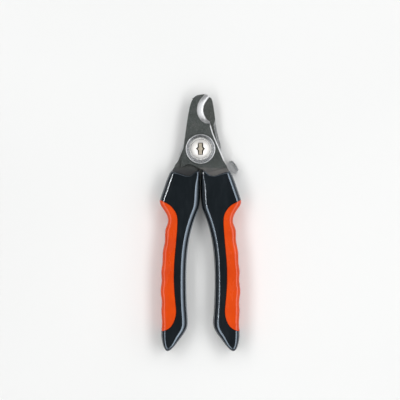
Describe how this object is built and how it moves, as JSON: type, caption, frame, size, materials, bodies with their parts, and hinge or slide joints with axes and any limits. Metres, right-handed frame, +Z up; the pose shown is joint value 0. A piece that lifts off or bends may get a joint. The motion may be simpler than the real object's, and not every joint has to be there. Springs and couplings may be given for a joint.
{
  "type": "pet nail trimmer",
  "caption": "Plier-type pet nail trimmer with notched crossing blades, domed pivot screw, safety guard and black handles with orange inlays, shown closed.",
  "frame": {"origin": "on the pivot axis, in the plane the tool rests on, at the flat end of the lock nut", "axes": "+Y to the blade tips, +X to the right handle, +Z up out of the front face"},
  "size_m": [0.0514, 0.1626, 0.016],
  "materials": {
    "blade_steel": "dark satin steel with a bright ground bevel",
    "polished_nickel": "polished nickel",
    "plated_steel": "zinc plated, satin",
    "spring_wire": "drawn spring wire",
    "screw_zinc": "zinc plated",
    "black_plastic": "gloss black moulding",
    "orange_inlay": "gloss orange soft inlay"
  },
  "bodies": {
    "right_lever": {"front_blade": "blade_steel", "pivot_bolt": "polished_nickel", "pivot_bushing": "plated_steel", "return_spring": "spring_wire", "front_washer": "plated_steel", "guard_washer": "plated_steel", "rear_washer": "plated_steel", "lock_nut": "plated_steel", "right_front_shell": "black_plastic", "right_rear_shell": "black_plastic", "right_grip": "orange_inlay", "right_screw_upper": "screw_zinc", "right_screw_middle": "screw_zinc", "right_screw_lower": "screw_zinc"},
    "left_lever": {"rear_blade": "blade_steel", "left_front_shell": "black_plastic", "left_rear_shell": "black_plastic", "left_grip": "orange_inlay", "left_screw_upper": "screw_zinc", "left_screw_middle": "screw_zinc", "left_screw_lower": "screw_zinc"},
    "guard": {"safety_guard": "plated_steel"}
  },
  "joints": [
    {"name": "handle_open", "type": "hinge", "parent": "right_lever", "child": "left_lever", "pos_m": [0, 0, 0.008], "axis": [0, 0, -1], "range_deg": [0, 25]},
    {"name": "guard_swing", "type": "hinge", "parent": "right_lever", "child": "guard", "pos_m": [0, 0, 0.0038], "axis": [0, 0, 1], "range_deg": [0, 40]}
  ]
}
